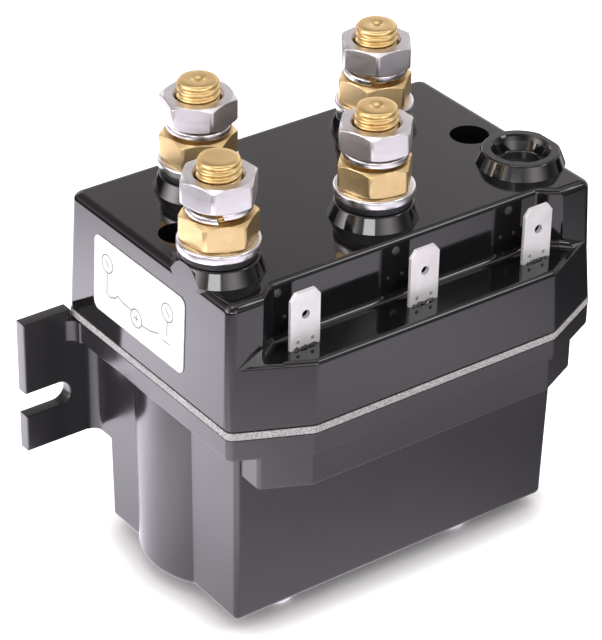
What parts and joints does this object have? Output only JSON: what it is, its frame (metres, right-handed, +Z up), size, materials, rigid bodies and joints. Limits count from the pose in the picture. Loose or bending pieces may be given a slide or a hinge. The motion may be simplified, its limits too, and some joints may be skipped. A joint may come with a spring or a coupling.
{
  "type": "solenoid contactor",
  "caption": "Reversing solenoid contactor: moulded cover with threaded terminal studs and blade tabs on a moulded base with slotted mounting ears.",
  "frame": {"origin": "bottom centre of the bounding box, at the height of the screw heads under the base", "axes": "+X along the long side, from the labelled end to the other end; +Y from the blade tabs to the mounting ears; +Z up along the terminal studs"},
  "size_m": [0.1034, 0.0592, 0.0936],
  "materials": {
    "black_gloss_plastic": "polished black moulding",
    "black_satin_plastic": "satin black moulding",
    "grey_gasket": "speckled grey foam rubber",
    "white_label": "printed film",
    "brass": "turned, bright",
    "zinc_steel": "zinc plated",
    "tinned_brass": "tin plated sheet",
    "copper": "bare copper",
    "soft_iron": "plain iron",
    "cream_plastic": "unfilled nylon"
  },
  "bodies": {
    "housing": {"cover": "black_gloss_plastic", "base": "black_satin_plastic", "stud_seal_1": "black_satin_plastic", "stud_seal_2": "black_satin_plastic", "stud_seal_3": "black_satin_plastic", "stud_seal_4": "black_satin_plastic", "gasket": "grey_gasket", "terminal_label": "white_label", "terminal_stud_1": "brass", "terminal_stud_2": "brass", "terminal_stud_3": "brass", "terminal_stud_4": "brass", "brass_nut_1": "brass", "brass_nut_2": "brass", "brass_nut_3": "brass", "brass_nut_4": "brass", "flat_washer_1": "zinc_steel", "flat_washer_2": "zinc_steel", "flat_washer_3": "zinc_steel", "flat_washer_4": "zinc_steel", "spring_washer_1": "zinc_steel", "spring_washer_2": "zinc_steel", "spring_washer_3": "zinc_steel", "spring_washer_4": "zinc_steel", "steel_nut_1": "zinc_steel", "steel_nut_2": "zinc_steel", "steel_nut_3": "zinc_steel", "steel_nut_4": "zinc_steel", "base_screw_1": "zinc_steel", "base_screw_2": "zinc_steel", "base_screw_3": "zinc_steel", "base_screw_4": "zinc_steel", "cover_screw_left": "zinc_steel", "cover_screw_right": "zinc_steel", "return_spring_1": "zinc_steel", "return_spring_2": "zinc_steel", "blade_tab_1": "tinned_brass", "blade_tab_2": "tinned_brass", "blade_tab_3": "tinned_brass", "positive_bus": "copper", "negative_bus": "copper", "motor_link_1": "copper", "motor_link_2": "copper", "winding_1": "copper", "winding_2": "copper", "yoke_1": "soft_iron", "yoke_2": "soft_iron", "yoke_plate_1": "soft_iron", "yoke_plate_2": "soft_iron", "fixed_core_1": "soft_iron", "fixed_core_2": "soft_iron", "contact_tray": "cream_plastic", "bobbin_1": "cream_plastic", "bobbin_2": "cream_plastic"},
    "armature_1": {"plunger_1": "soft_iron", "contact_carrier_1": "cream_plastic", "contact_bar_1": "copper"},
    "armature_2": {"plunger_2": "soft_iron", "contact_carrier_2": "cream_plastic", "contact_bar_2": "copper"}
  },
  "joints": [
    {"name": "stroke_1", "type": "slide", "parent": "housing", "child": "armature_1", "axis": [0, 0, 1], "range_m": [0, 0.003], "stiffness_N_per_m": 600, "springref_m": -0.005, "deforming": ["return_spring_1"]},
    {"name": "stroke_2", "type": "slide", "parent": "housing", "child": "armature_2", "axis": [0, 0, 1], "range_m": [0, 0.003], "stiffness_N_per_m": 600, "springref_m": -0.005, "deforming": ["return_spring_2"]}
  ]
}
